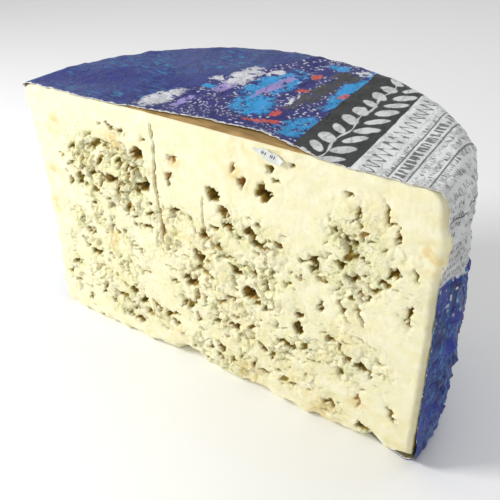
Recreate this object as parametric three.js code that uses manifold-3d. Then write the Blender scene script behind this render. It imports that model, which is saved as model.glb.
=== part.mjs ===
// Half a wheel of blue-veined cheese, resting on its base, still in the printed
// foil that the whole wheel was wrapped in. The wheel was halved by one straight
// cut from top to base. Millimetres, +Z up. The cut face looks along -Y, and
// while the pieces are made the wheel's own axis is the Z axis.

import * as THREE from 'three';
import { mergeVertices } from 'three/addons/utils/BufferGeometryUtils.js';
import Module from 'manifold-3d';

// ---------------------------------------------------------------------------
// Driving dimensions
// ---------------------------------------------------------------------------

// The wheel of cheese.
const WHEEL_RADIUS = 92.2;
const WHEEL_HEIGHT = 114.6;
const TOP_RIM_RADIUS = 6;
const BASE_RIM_RADIUS = 9;

// The cut: how far in front of the wheel's axis the knife passed, how deep the
// crumbly face is torn, and how much of the paste broke away along the base.
const CUT_OFFSET = 1.2;
const FACE_ROUGHNESS = 0.9;
const BASE_CRUMBLE_DEPTH = 4.2;
const BASE_CRUMBLE_HEIGHT = 7;

// A wheel that stood while it ripened is no true cylinder: its left flank draws
// in at the waist, its right flank bellies out, and its back right is flattened,
// most strongly FLAT_ANGLE round from +X and over FLAT_REACH to either side.
const WAIST_DEPTH = 2.8;
const BELLY_DEPTH = 2.9;
const FLAT_DEPTH = 2.8;
const FLAT_ANGLE = THREE.MathUtils.degToRad(70);
const FLAT_REACH = THREE.MathUtils.degToRad(50);

// The foil. Its thickness stands for the foil with its folds and wrinkles.
const FOIL_THICKNESS = 0.5;
const FOIL_GAP = 0.3;

// Where the knife tore the foil back from the top edge of the cut, baring the
// rind, and the low blister it left in the foil behind the tear.
const TEAR_DEPTH = 8.5;
const TEAR_CENTRE_X = 6;
const TEAR_HALF_WIDTH = 60;
const BLISTER_HEIGHT = 1.4;
const BLISTER_REACH = 34;

// Where the foil hangs loose, standing off the lower part of the right flank,
// most of all STAND_OFF_BEHIND behind the cut.
const STAND_OFF = 3.2;
const STAND_OFF_HEIGHT = 84;
const STAND_OFF_BEHIND = 50;
const STAND_OFF_REACH = 52;

// The foil under the base stops this far behind the cut face.
const BASE_SET_BACK = 10;

// A torn scrap of the wrapper that the knife left sticking to the cut face.
const SCRAP_LENGTH = 13;
const SCRAP_WIDTH = 4.2;
const SCRAP_THICKNESS = 0.4;
const SCRAP_CENTRE_X = 30.5;
const SCRAP_DROP = 2.8;
const SCRAP_SLOPE_DEG = -12;

// The largest pockets that the mould left in the paste, as seen on the cut face:
// where across the face (-1 to 1) and up it (0 to 1), width, height and lean.
const POCKETS = [
  { across: -0.59, up: 0.83, width: 7, height: 4, lean: 30 },
  { across: -0.33, up: 0.84, width: 6, height: 6, lean: 0 },
  { across: -0.5, up: 0.69, width: 9, height: 5, lean: 15 },
  { across: -0.29, up: 0.72, width: 5, height: 7, lean: 10 },
  { across: -0.14, up: 0.67, width: 6, height: 4, lean: -20 },
  { across: -0.39, up: 0.62, width: 8, height: 4, lean: -15 },
  { across: -0.31, up: 0.57, width: 8, height: 4, lean: 5 },
  { across: 0.07, up: 0.77, width: 7, height: 5, lean: -20 },
  { across: 0.13, up: 0.69, width: 5, height: 7, lean: 25 },
  { across: 0.3, up: 0.85, width: 10, height: 5, lean: -35 },
  { across: 0.29, up: 0.65, width: 9, height: 4, lean: -35 },
  { across: 0.09, up: 0.59, width: 8, height: 4, lean: -30 },
  { across: 0.68, up: 0.84, width: 4, height: 8, lean: 10 },
  { across: 0.67, up: 0.75, width: 7, height: 5, lean: 0 },
  { across: 0.65, up: 0.66, width: 4, height: 9, lean: 30 },
  { across: 0.82, up: 0.71, width: 6, height: 5, lean: 20 },
  { across: 0.85, up: 0.86, width: 3, height: 9, lean: 20 },
  { across: 0.23, up: 0.44, width: 6, height: 4, lean: -15 },
  { across: -0.4, up: 0.22, width: 7, height: 4, lean: -10 },
  { across: -0.3, up: 0.17, width: 6, height: 4, lean: 0 },
  { across: 0.47, up: 0.36, width: 7, height: 5, lean: -35 },
  { across: 0.43, up: 0.29, width: 9, height: 4, lean: -20 },
  { across: 0.77, up: 0.32, width: 7, height: 4, lean: -40 },
  { across: 0.92, up: 0.58, width: 3, height: 8, lean: 5 },
];
const POCKET_DEPTH = 4.5;

// Fineness of the round and the flat surfaces.
const TURN_STEPS = 64;
const RIM_STEPS = 4;
const SIDE_STEPS = 5;
const DISC_STEPS = 6;
const FACE_CELL = 9;

// ---------------------------------------------------------------------------
// Solids
// ---------------------------------------------------------------------------

const wasm = await Module();
wasm.setup();

function toSolid(geometry) {
  const bare = geometry.index ? geometry.toNonIndexed() : geometry.clone();
  for (const name of Object.keys(bare.attributes)) {
    if (name !== 'position') bare.deleteAttribute(name);
  }
  const merged = mergeVertices(bare, 1e-4);
  return new wasm.Manifold(new wasm.Mesh({
    numProp: 3,
    vertProperties: Float32Array.from(merged.attributes.position.array),
    triVerts: Uint32Array.from(merged.index.array),
  }));
}

function toGeometry(solid) {
  const mesh = solid.getMesh();
  const geometry = new THREE.BufferGeometry();
  geometry.setAttribute('position', new THREE.BufferAttribute(mesh.vertProperties, mesh.numProp));
  geometry.setIndex(new THREE.BufferAttribute(mesh.triVerts, 1));
  return geometry;
}

// Moves every corner of a mesh by shape(x, y, z), which returns its new place.
function reshape(geometry, shape) {
  const position = geometry.attributes.position;
  for (let i = 0; i < position.count; i += 1) {
    const moved = shape(position.getX(i), position.getY(i), position.getZ(i));
    position.setXYZ(i, moved.x, moved.y, moved.z);
  }
  geometry.computeVertexNormals();
  return geometry;
}

// 1 at distance 0, falling smoothly to 0 at the reach.
function fade(distance, reach) {
  const t = THREE.MathUtils.clamp(Math.abs(distance) / reach, 0, 1);
  return 0.5 + 0.5 * Math.cos(Math.PI * t);
}

// ---------------------------------------------------------------------------
// The wheel's form, shared by the paste and the foil
// ---------------------------------------------------------------------------

// The wheel as a turned drum grown all round by the offset, then shaped.
function drum(offset, shape) {
  const radius = WHEEL_RADIUS + offset;
  const top = WHEEL_HEIGHT + offset;
  const topRim = TOP_RIM_RADIUS + offset;
  const baseRim = BASE_RIM_RADIUS + offset;
  const outline = [];
  for (let i = 0; i < DISC_STEPS; i += 1) {
    outline.push(new THREE.Vector2((radius - baseRim) * i / DISC_STEPS, -offset));
  }
  for (let i = 0; i < RIM_STEPS; i += 1) {
    const turn = (Math.PI / 2) * (i / RIM_STEPS);
    outline.push(new THREE.Vector2(
      radius - baseRim + baseRim * Math.sin(turn),
      -offset + baseRim - baseRim * Math.cos(turn),
    ));
  }
  for (let i = 0; i < SIDE_STEPS; i += 1) {
    const low = -offset + baseRim;
    outline.push(new THREE.Vector2(radius, low + (top - topRim - low) * i / SIDE_STEPS));
  }
  for (let i = 0; i < RIM_STEPS; i += 1) {
    const turn = (Math.PI / 2) * (i / RIM_STEPS);
    outline.push(new THREE.Vector2(
      radius - topRim + topRim * Math.cos(turn),
      top - topRim + topRim * Math.sin(turn),
    ));
  }
  for (let i = 0; i < DISC_STEPS; i += 1) {
    outline.push(new THREE.Vector2((radius - topRim) * (1 - i / DISC_STEPS), top));
  }
  outline.push(new THREE.Vector2(0, top));
  const geometry = new THREE.LatheGeometry(outline, TURN_STEPS);
  geometry.rotateX(Math.PI / 2);
  return toSolid(reshape(geometry, shape));
}

// The ripened wheel's departure from a true drum. It leaves the base flat.
function ripen(x, y, z) {
  const radius = Math.hypot(x, y);
  const outward = Math.min(radius / WHEEL_RADIUS, 1) ** 2;
  const height = z / WHEEL_HEIGHT;
  const swell = Math.sin(Math.PI * THREE.MathUtils.clamp(height, 0, 1)) ** 2;
  const angle = Math.atan2(y, x);
  const rightness = fade(angle, Math.PI / 2);
  const leftness = fade(Math.PI - Math.abs(angle), Math.PI / 2);
  const flank = swell * (BELLY_DEPTH * rightness - WAIST_DEPTH * leftness);
  const flat = FLAT_DEPTH * fade(angle - FLAT_ANGLE, FLAT_REACH);
  const push = outward * (flank - flat);
  const scale = radius > 0 ? 1 + push / radius : 1;
  return { x: x * scale, y: y * scale, z };
}

// ---------------------------------------------------------------------------
// The half wheel of paste
// ---------------------------------------------------------------------------

// How far the torn paste lies behind the knife's plane at a point of the face.
function faceDepth(x, z) {
  const broad = 0.5 + 0.5 * Math.sin(x / 13 + 1.1) * Math.sin(z / 11 + 0.4);
  const small = 0.5 + 0.5 * Math.sin(x / 5.2 - z / 7.1);
  const torn = FACE_ROUGHNESS * (0.6 * broad + 0.4 * small);
  const crumble = BASE_CRUMBLE_DEPTH * fade(Math.max(z, 0), BASE_CRUMBLE_HEIGHT);
  return torn + crumble * (0.65 + 0.35 * Math.sin(x / 9.5));
}

function knife() {
  const width = 2 * WHEEL_RADIUS + 4 * FACE_CELL;
  const height = WHEEL_HEIGHT + 4 * FACE_CELL;
  const depth = WHEEL_RADIUS;
  const cut = new THREE.BoxGeometry(
    width, depth, height,
    Math.round(width / FACE_CELL), 1, Math.round(height / FACE_CELL),
  );
  cut.translate(0, -CUT_OFFSET - depth / 2, WHEEL_HEIGHT / 2);
  return toSolid(reshape(cut, (x, y, z) => {
    const onFace = y > -CUT_OFFSET - depth / 2;
    return { x, y: onFace ? y + faceDepth(x, z) : y, z };
  }));
}

function pocket({ across, up, width, height, lean }) {
  const hollow = new THREE.IcosahedronGeometry(0.5, 1);
  hollow.scale(width, 2 * POCKET_DEPTH, height);
  hollow.rotateY(THREE.MathUtils.degToRad(-lean));
  hollow.translate(across * WHEEL_RADIUS, -CUT_OFFSET, up * WHEEL_HEIGHT);
  return toSolid(hollow);
}

function cheeseHalf() {
  let paste = drum(0, ripen).subtract(knife());
  for (const each of POCKETS) paste = paste.subtract(pocket(each));
  const mesh = new THREE.Mesh(
    toGeometry(paste),
    new THREE.MeshStandardMaterial({ color: 0xeee6bf, roughness: 0.6, metalness: 0 }),
  );
  mesh.name = 'cheese_half';
  return mesh;
}

// ---------------------------------------------------------------------------
// The foil
// ---------------------------------------------------------------------------

// A block that clears everything in front of y, between two heights.
function clearance(frontOf, low, high) {
  const width = 4 * WHEEL_RADIUS;
  const depth = 2 * WHEEL_RADIUS;
  const block = new THREE.BoxGeometry(width, depth, high - low);
  block.translate(0, frontOf - depth / 2, (low + high) / 2);
  return toSolid(block);
}

// The foil follows the ripened wheel, but for the blister on the top and the
// stretch that stands off the lower right flank.
function drape(wheelX, wheelY, wheelZ) {
  const { x, y, z } = ripen(wheelX, wheelY, wheelZ);
  const behindCut = y + CUT_OFFSET;
  const onTop = THREE.MathUtils.smoothstep(z, WHEEL_HEIGHT - TOP_RIM_RADIUS, WHEEL_HEIGHT);
  const across = fade(x - TEAR_CENTRE_X, TEAR_HALF_WIDTH);
  const lift = BLISTER_HEIGHT * onTop * across * fade(behindCut, BLISTER_REACH);
  const radius = Math.hypot(x, y);
  const onFlank = x > 0 ? THREE.MathUtils.smoothstep(radius, WHEEL_RADIUS / 2, WHEEL_RADIUS) : 0;
  const low = fade(Math.max(z, 0), STAND_OFF_HEIGHT);
  const push = STAND_OFF * onFlank * low * fade(behindCut - STAND_OFF_BEHIND, STAND_OFF_REACH);
  return { x: x + push, y, z: z + lift };
}

// The oval bite that the tear takes out of the foil's top, along the cut.
function tear(low, high) {
  const bite = new THREE.CylinderGeometry(1, 1, high - low, TURN_STEPS);
  bite.rotateX(Math.PI / 2);
  bite.scale(TEAR_HALF_WIDTH, TEAR_DEPTH, 1);
  bite.translate(TEAR_CENTRE_X, -CUT_OFFSET, (low + high) / 2);
  return toSolid(bite);
}

function foilWrapper() {
  const skin = drum(FOIL_GAP + FOIL_THICKNESS, drape).subtract(drum(FOIL_GAP, drape));
  const margin = 4 * (FOIL_GAP + FOIL_THICKNESS);
  const highest = WHEEL_HEIGHT + BLISTER_HEIGHT + margin;
  const halved = skin
    .subtract(clearance(-CUT_OFFSET, -margin, highest))
    .subtract(tear(WHEEL_HEIGHT - margin, highest))
    .subtract(clearance(BASE_SET_BACK - CUT_OFFSET, -margin, BASE_RIM_RADIUS / 2));
  const mesh = new THREE.Mesh(
    toGeometry(halved),
    new THREE.MeshStandardMaterial({ color: 0x2f3f8f, roughness: 0.35, metalness: 0.3 }),
  );
  mesh.name = 'foil_wrapper';
  return mesh;
}

// ---------------------------------------------------------------------------
// The torn scrap
// ---------------------------------------------------------------------------

function foilScrap() {
  const half = SCRAP_LENGTH / 2;
  const sliver = new THREE.Shape();
  sliver.moveTo(-half, SCRAP_WIDTH * 0.3);
  sliver.quadraticCurveTo(-half * 0.3, SCRAP_WIDTH * 0.6, half * 0.4, SCRAP_WIDTH * 0.5);
  sliver.quadraticCurveTo(half * 0.8, SCRAP_WIDTH * 0.3, half, -SCRAP_WIDTH * 0.3);
  sliver.lineTo(half * 0.2, -SCRAP_WIDTH * 0.5);
  sliver.quadraticCurveTo(-half * 0.5, -SCRAP_WIDTH * 0.2, -half, SCRAP_WIDTH * 0.1);
  sliver.closePath();
  const geometry = new THREE.ExtrudeGeometry(sliver, {
    depth: SCRAP_THICKNESS, bevelEnabled: false, curveSegments: 5,
  });
  geometry.rotateX(Math.PI / 2);
  geometry.rotateY(THREE.MathUtils.degToRad(-SCRAP_SLOPE_DEG));
  const mesh = new THREE.Mesh(
    geometry,
    new THREE.MeshStandardMaterial({ color: 0xe9e9ee, roughness: 0.4, metalness: 0.1 }),
  );
  mesh.name = 'foil_scrap';
  mesh.position.set(SCRAP_CENTRE_X, -CUT_OFFSET - FOIL_GAP, WHEEL_HEIGHT - SCRAP_DROP);
  return mesh;
}

// ---------------------------------------------------------------------------
// The half wheel in its foil, with its origin under the middle of its box
// ---------------------------------------------------------------------------

const wedge = new THREE.Group();
wedge.add(cheeseHalf(), foilWrapper(), foilScrap());

const box = new THREE.Box3().setFromObject(wedge, true);
const middle = box.getCenter(new THREE.Vector3());
wedge.position.set(-middle.x, -middle.y, -box.min.z);

export default wedge;
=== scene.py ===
import math

import bpy
import numpy as np
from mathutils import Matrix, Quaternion, Vector


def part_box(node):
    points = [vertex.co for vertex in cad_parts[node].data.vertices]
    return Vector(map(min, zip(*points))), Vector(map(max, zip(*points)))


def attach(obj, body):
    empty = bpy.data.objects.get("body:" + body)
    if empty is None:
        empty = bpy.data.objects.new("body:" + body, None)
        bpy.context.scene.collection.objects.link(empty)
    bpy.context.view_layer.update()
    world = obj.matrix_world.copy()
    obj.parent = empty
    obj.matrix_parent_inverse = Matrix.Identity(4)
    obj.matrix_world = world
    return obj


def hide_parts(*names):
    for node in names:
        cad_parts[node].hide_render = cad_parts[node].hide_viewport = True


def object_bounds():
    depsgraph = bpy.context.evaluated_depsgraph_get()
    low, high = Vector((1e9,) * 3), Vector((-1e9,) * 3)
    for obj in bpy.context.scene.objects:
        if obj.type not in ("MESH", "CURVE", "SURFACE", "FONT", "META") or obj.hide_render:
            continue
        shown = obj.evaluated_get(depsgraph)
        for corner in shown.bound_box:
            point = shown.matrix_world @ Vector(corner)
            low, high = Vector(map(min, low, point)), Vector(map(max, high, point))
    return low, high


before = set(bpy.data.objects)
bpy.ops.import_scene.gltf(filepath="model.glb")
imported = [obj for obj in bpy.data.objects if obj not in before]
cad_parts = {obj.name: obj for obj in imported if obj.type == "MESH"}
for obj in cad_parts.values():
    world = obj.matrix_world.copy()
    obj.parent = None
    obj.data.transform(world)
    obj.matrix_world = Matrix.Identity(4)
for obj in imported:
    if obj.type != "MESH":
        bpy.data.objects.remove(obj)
cad_low, cad_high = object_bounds()


# ---------------------------------------------------------------------------
# The half wheel of paste
# ---------------------------------------------------------------------------
# One piece of ripened cows' milk curd, moulded as a drum, salted, pierced with
# needles so that blue mould could grow in it, and halved with a knife. The cut
# face is crumbly and full of pockets, and a thin brown rind covers the rest.

# The wheel stands on Z, and the half's cut face looks along -Y. Sizes are in
# millimetres from the foot of the wheel's axis. The wheel bellied out on the
# right and drew in on the left as it ripened, has a flat on its back where it
# lay, and was cut just in front of its middle.
WHEEL_RADIUS = 92.2
TOP_RIM = 5.0
BASE_RIM = 5.0
BELLY = 2.9
DRAWN_IN = 2.2
WAIST = 2.8
FLAT = 2.8
FLAT_ANGLE = math.radians(70)
FLAT_REACH = math.radians(50)
AXIS_BEHIND_CUT = 1.2

cheese_low, cheese_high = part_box("cheese_half")
foil_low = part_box("foil_wrapper")[0]
axis_foot = Vector((
    cheese_low.x + WHEEL_RADIUS / 1000,
    foil_low.y + AXIS_BEHIND_CUT / 1000,
    cheese_low.z,
))
WHEEL_HEIGHT = (cheese_high.z - cheese_low.z) * 1000


def smooth(value, start, end):
    """0 up to start and 1 from end on, with a soft turn at both."""
    t = np.clip((value - start) / (end - start), 0, 1)
    return t * t * (3 - 2 * t)


def fade(distance, reach):
    """1 at no distance, falling softly to 0 at the reach."""
    return 0.5 + 0.5 * np.cos(np.pi * np.clip(np.abs(distance) / reach, 0, 1))


def bumps(x, y, size, seed):
    """Soft random bumps from -1 to 1, each about size across."""
    turn = np.random.default_rng(seed).uniform(0, 2 * np.pi, (256, 256))
    cell_x, cell_y = np.floor(x / size).astype(int), np.floor(y / size).astype(int)
    in_x, in_y = x / size - cell_x, y / size - cell_y

    def corner(right, back):
        angle = turn[(cell_x + right) % 256, (cell_y + back) % 256]
        return np.cos(angle) * (in_x - right) + np.sin(angle) * (in_y - back)

    blend_x, blend_y = smooth(in_x, 0, 1), smooth(in_y, 0, 1)
    near = corner(0, 0) * (1 - blend_x) + corner(1, 0) * blend_x
    far = corner(0, 1) * (1 - blend_x) + corner(1, 1) * blend_x
    return 1.5 * (near * (1 - blend_y) + far * blend_y)


def grains(x, y, size, seed):
    """Uneven grains packed side by side: 0 at a grain's middle, and the gap between grains."""
    jitter = np.random.default_rng(seed).uniform(0.1, 0.9, (256, 256, 2))
    cell_x, cell_y = np.floor(x / size).astype(int), np.floor(y / size).astype(int)
    nearest = np.full(x.shape, 9.0)
    second = np.full(x.shape, 9.0)
    for right in (-1, 0, 1):
        for back in (-1, 0, 1):
            middle = jitter[(cell_x + right) % 256, (cell_y + back) % 256]
            away = np.hypot(
                cell_x + right + middle[..., 0] - x / size,
                cell_y + back + middle[..., 1] - y / size,
            )
            second = np.minimum(second, np.maximum(away, nearest))
            nearest = np.minimum(nearest, away)
    return nearest, second - nearest


def ripen(x, y, z, drawn_in=DRAWN_IN):
    """Moves points of a true drum to where the ripened, slightly slumped wheel is.
    The paste has drawn in a little under its foil since the foil was pressed on."""
    radius = np.maximum(np.hypot(x, y), 1e-6)
    swell = np.sin(np.pi * np.clip(z / WHEEL_HEIGHT, 0, 1)) ** 2
    angle = np.arctan2(y, x)
    right = fade(angle, np.pi / 2)
    left = fade(np.pi - np.abs(angle), np.pi / 2)
    flat = FLAT * fade(angle - FLAT_ANGLE, FLAT_REACH)
    outward = np.minimum(radius / WHEEL_RADIUS, 1) ** 2
    push = outward * (swell * ((BELLY - drawn_in) * right - WAIST * left) - flat)
    return x * (1 + push / radius), y * (1 + push / radius), z


def drum_radius(z):
    """The drum's radius at a height, with its rounded rims."""
    over = np.clip(z - (WHEEL_HEIGHT - TOP_RIM), 0, TOP_RIM)
    under = np.clip(BASE_RIM - z, 0, BASE_RIM)
    inset = TOP_RIM - np.sqrt(np.maximum(TOP_RIM**2 - over**2, 0))
    inset += BASE_RIM - np.sqrt(np.maximum(BASE_RIM**2 - under**2, 0))
    return WHEEL_RADIUS - inset


def edit(piece, how="VERT"):
    """Opens a piece in edit mode with nothing selected."""
    if bpy.context.mode != "OBJECT":
        bpy.ops.object.mode_set(mode="OBJECT")
    bpy.ops.object.select_all(action="DESELECT")
    piece.select_set(True)
    bpy.context.view_layer.objects.active = piece
    bpy.ops.object.mode_set(mode="EDIT")
    bpy.ops.mesh.select_mode(type=how)
    bpy.ops.mesh.select_all(action="DESELECT")


def read_corners(piece):
    """A piece's corners as an array, as Blender holds them."""
    flat = np.empty(len(piece.data.vertices) * 3)
    piece.data.vertices.foreach_get("co", flat)
    return flat.reshape(-1, 3)


def read_points(piece):
    """A piece's corners, in millimetres from the axis's foot."""
    return (read_corners(piece) - np.array(axis_foot)) * 1000


def write_points(piece, points):
    placed = np.asarray(points) / 1000 + np.array(axis_foot)
    piece.data.vertices.foreach_set("co", placed.ravel())
    piece.data.update()


def read_mark(piece, name):
    """One number kept for each corner of a piece."""
    values = np.empty(len(piece.data.vertices), np.float32)
    piece.data.attributes[name].data.foreach_get("value", values)
    return values.astype(float)


def write_mark(piece, name, values):
    mark = piece.data.attributes.get(name)
    if mark is None:
        mark = piece.data.attributes.new(name, "FLOAT", "POINT")
    mark.data.foreach_set("value", np.asarray(values, np.float32))


def select_border(piece):
    """Opens a piece in edit mode with its open edges selected."""
    edit(piece, "EDGE")
    bpy.ops.mesh.select_non_manifold(
        extend=False, use_wire=False, use_boundary=True,
        use_multi_face=False, use_non_contiguous=False, use_verts=False,
    )


# The cut face starts as a fine grid: how far across and up it each corner lies,
# and how far behind the knife's plane, are kept on the corners themselves.
FACE_COLUMNS = 372
FACE_ROWS = 228
bpy.ops.object.select_all(action="DESELECT")
bpy.ops.mesh.primitive_grid_add(
    x_subdivisions=FACE_COLUMNS, y_subdivisions=FACE_ROWS, size=2, location=(0, 0, 0),
)
paste = bpy.context.object
paste.name = "cheese_paste"
start = read_corners(paste)
write_mark(paste, "across", start[:, 0])
write_mark(paste, "up", (start[:, 1] + 1) / 2)
write_mark(paste, "behind", np.zeros(len(start)))

# Its border is drawn back in steps, which become the rind nearest the cut.
RIND_STEPS = (0.5, 1.2, 2.4, 4.5, 8, 13, 20)
select_border(paste)
for step in RIND_STEPS:
    bpy.ops.mesh.extrude_region_move(TRANSFORM_OT_translate={"value": (0, 0, -step / 1000)})
    bpy.ops.object.mode_set(mode="OBJECT")
    behind = read_mark(paste, "behind")
    chosen = np.empty(len(paste.data.vertices), bool)
    paste.data.vertices.foreach_get("select", chosen)
    behind[chosen] = step
    write_mark(paste, "behind", behind)
    bpy.ops.object.mode_set(mode="EDIT")
bpy.ops.object.mode_set(mode="OBJECT")

# Pockets, as seen on the face: x and z of the middle, length, height, lean in
# degrees, depth, and how brown it is inside, from 0 (olive) to 1 (rust brown).
POCKETS = [
    # upper left, where the mould grew best
    (-43, 105, 4, 3, 60, 2.5, 0.2), (-38, 105, 6, 2.5, 10, 2, 0.1),
    (-53, 96, 16, 3.5, 22, 3, 0.1), (-30, 97, 5, 5.5, 20, 4.5, 0.6),
    (-68, 91, 6, 4, 50, 2, 0), (-48, 82, 14, 4.5, -10, 5, 0.5),
    (-44, 77, 7, 4, -45, 4, 0.6), (-30, 83, 8, 4.5, 5, 4, 0.4),
    (-27, 77, 4, 4, 0, 3, 0.5), (-34, 80, 5, 3, 30, 3, 0.2),
    (-38, 72, 6, 5, 0, 3.5, 0.1), (-36, 64, 3, 2.5, 0, 3, 0.6),
    (-30, 64.5, 8, 3, 12, 4, 0.3), (-60, 68, 4, 3, 0, 2.5, 0.4),
    (-66, 77, 5, 9, 8, 2.5, 0), (-58, 81, 7, 3, 20, 2.5, 0.1),
    (-52, 88, 8, 3, 35, 2.5, 0), (-72, 75, 6, 4, 30, 2, 0),
    (-33, 90, 5, 3, -20, 2.5, 0.2), (-41, 91, 6, 3, 30, 2.5, 0.1),
    (-55, 74, 6, 2.5, -20, 2.5, 0.2), (-28, 71, 4, 3, 30, 2.5, 0.3),
    (-26, 104, 3, 2, 0, 2, 0.2), (-70, 84, 6, 3, 40, 2, 0),
    # the middle
    (-15, 91, 4, 2.5, 0, 3, 0.8), (-12, 77.5, 7.5, 4, -8, 4, 0.6),
    (6, 90, 6.5, 4.5, -10, 4, 0.2), (-2, 59, 4, 9, 20, 4, 0.5),
    (0, 53, 6, 4, -30, 4, 0.3), (7, 68.5, 7, 3.5, -10, 4, 0.4),
    (11, 84, 5, 3, -15, 3, 0.5), (12, 78.5, 5.5, 6, 15, 4, 0.4),
    (26, 84, 3, 2.5, 0, 3, 0.7), (21.5, 79, 6, 5, -20, 4.5, 0.3),
    (26, 75, 8, 3, -20, 3.5, 0.2), (28, 97, 8, 4.5, -18, 4.5, 0.5),
    (31, 107, 4.5, 3.5, 20, 3, 0.1), (33, 103, 3, 3, 0, 2, 0),
    (15.5, 103, 2, 6, 20, 1.5, 1), (18, 98, 4.5, 4, -20, 2.5, 1),
    (-12, 99, 6, 2.5, 30, 1.5, 1), (40, 111, 3, 1.8, 0, 1.5, 0.3),
    (0, 70, 4, 5, 0, 3, 0.6), (-3, 72, 2, 3, 0, 2, 0.5),
    (21, 51, 7, 4, -15, 5, 0.7), (25, 47.5, 4, 2.5, -20, 3, 0.4),
    (15, 60, 4, 4.5, 30, 4, 0.5), (23, 61, 3, 3, 0, 3.5, 0.8),
    (28, 57, 1.8, 6, 0, 2.5, 0.4), (48, 75, 3.5, 6, 8, 4, 0.2),
    (-8, 46, 6.5, 5, -10, 4, 0.5), (-6, 40, 2, 8, 0, 3, 0.5),
    (-2, 39, 3, 2.5, 0, 3, 0.7), (7, 41, 7, 1.8, 8, 2, 0.1),
    (13, 31, 4, 6, 20, 4.5, 0.6), (18.5, 28, 5, 2, 0, 3, 0.3),
    (26, 26.5, 4, 3, -10, 3.5, 0.5), (31, 24, 4, 1.8, 0, 2.5, 0.4),
    (42.5, 43, 6.5, 5, -25, 4.5, 0.5), (43, 50, 2.5, 3.5, 0, 3, 0.5),
    (38, 33, 9, 3.2, -10, 3.5, 0.3), (47, 36, 3, 4, 10, 2.5, 0.1),
    (22, 35, 3, 3, 0, 2.5, 0.3), (-10, 33, 9, 4, 20, 1.5, 0),
    # right of the middle, a chain of hollows
    (63, 99, 2.5, 7, -8, 3.5, 0.4), (61.5, 89, 5.5, 5, 0, 4.5, 0.1),
    (59, 79, 5, 4.5, -30, 4, 0.1), (62, 84, 3, 4, 20, 3, 0.2),
    (64, 74, 9, 2, -10, 3, 0.2), (71, 73, 7, 2, 5, 2.5, 0.2),
    (77.5, 82, 6, 4, 30, 4, 0.5), (75, 77, 4, 3, 0, 3, 0.4),
    (74.5, 103, 2, 7, 20, 3, 0.5), (78, 96, 1.8, 9, 20, 3, 0.5),
    (84, 68, 1.8, 8, 0, 4, 0.6), (60.5, 60, 2.2, 7, 12, 2.5, 0.3),
    (61, 42, 2.2, 7, 25, 3, 0.5), (64, 39, 4, 2.2, -20, 3, 0.6),
    (69, 36.5, 6.5, 4.5, -45, 4.5, 0.4), (52, 58, 2.5, 3.5, 0, 2.5, 0.3),
    (85, 84, 1.6, 7, 10, 2, 0.1), (67, 60, 2, 6, 15, 2, 0.2),
    (70, 49, 11, 1.3, -8, 1.2, 0.1), (52, 70, 4, 2, 0, 1.8, 0.1),
    # lower left
    (-64, 41, 6.5, 4.5, 20, 4, 0.2), (-43, 27, 4.5, 5, 0, 4, 0.1),
    (-50, 22, 7.5, 4, -15, 3.5, 0.6), (-37.5, 23.5, 6.5, 5, 10, 3.5, 0),
    (-34, 18.5, 5, 3, 20, 3, 0.3), (-41, 11, 7, 4, 25, 4, 0.5),
    (-47, 12, 4, 3, 0, 3, 0.2), (-18, 25, 4.5, 3, 0, 3.5, 0.7),
    (-21, 22, 6.5, 3, 10, 3.5, 0.6), (-18.5, 18.5, 3, 2, 0, 3, 0.7),
    (-78, 30, 6, 2.5, 25, 2, 0), (-85, 23, 6, 2.5, 10, 1.8, 0),
    (-17, 42, 5, 2, 10, 2, 0.3), (-33, 41, 5, 1.8, 25, 2, 0.1),
    (-29, 19, 4, 3, 0, 3, 0.5), (-55, 16, 5, 2.5, -10, 2.5, 0.1),
    (-72, 12, 5, 3, 40, 2.5, 0.3), (-79, 20, 4, 2, 10, 2, 0.1),
    # lower right
    (0.5, 14, 3, 3, 0, 2.5, 0.1), (5, 11, 5, 2, -20, 2, 0.1),
    (23, 17, 1.4, 6, 0, 2.5, 0.4), (12, 12, 3, 3, 0, 2.5, 0.7),
    (36, 14, 6, 4, 0, 1.5, 0), (57, 12, 6, 3, -40, 2.5, 0.7),
    (69, 20, 3, 6, 10, 1.2, 1), (82.5, 21, 1.6, 8, 30, 3, 0.4),
    (72, 8, 8, 4, -25, 3.5, 0.3), (23, 10, 1.2, 2, 0, 1.5, 0.5),
]

# Where the mould grew: middle, reach and strength. Small pockets and crumbs
# gather there, and the rest of the face is smooth, clean paste.
MOULD_ZONES = [
    (-48, 84, 30, 25, 1.0), (-58, 48, 31, 28, 0.78), (-46, 22, 31, 15, 0.82),
    (-75, 24, 15, 18, 0.55), (-12, 62, 24, 24, 0.68), (22, 62, 30, 28, 0.72),
    (5, 38, 34, 19, 0.74), (30, 32, 33, 17, 0.74), (63, 82, 17, 24, 0.85),
    (82, 74, 8, 20, 0.35), (60, 40, 26, 20, 0.5), (8, 13, 30, 12, 0.65),
    (48, 14, 26, 11, 0.45),
]
# Spots that ripened to a warm tan: middle and reach.
RIPE_SPOTS = [
    (-76, 101, 10), (-82, 76, 9), (-85, 60, 8), (16, 101, 6), (-12, 99, 6), (69, 20, 7),
    (89, 92, 10), (-50, 52, 9), (-42, 100, 8), (20, 8, 12), (55, 6, 14), (-20, 14, 9),
]
# The needles' channels that the cut laid open: x, foot, top and width.
NEEDLES = [
    (-22, 59, 112, 1.3), (-63, 78, 92, 1.0), (0.5, 64, 88, 0.9), (-6, 34, 50, 1.1),
]
SMALL_POCKET_TRIES = 1900
FINE_POCKET_TRIES = 1500


def mould_strength(x, z):
    strength = np.zeros_like(x)
    for middle_x, middle_z, reach_x, reach_z, most in MOULD_ZONES:
        away = np.hypot((x - middle_x) / reach_x, (z - middle_z) / reach_z)
        strength = np.maximum(strength, most * (1 - smooth(away, 0.45, 1.1)))
    return strength


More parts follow.
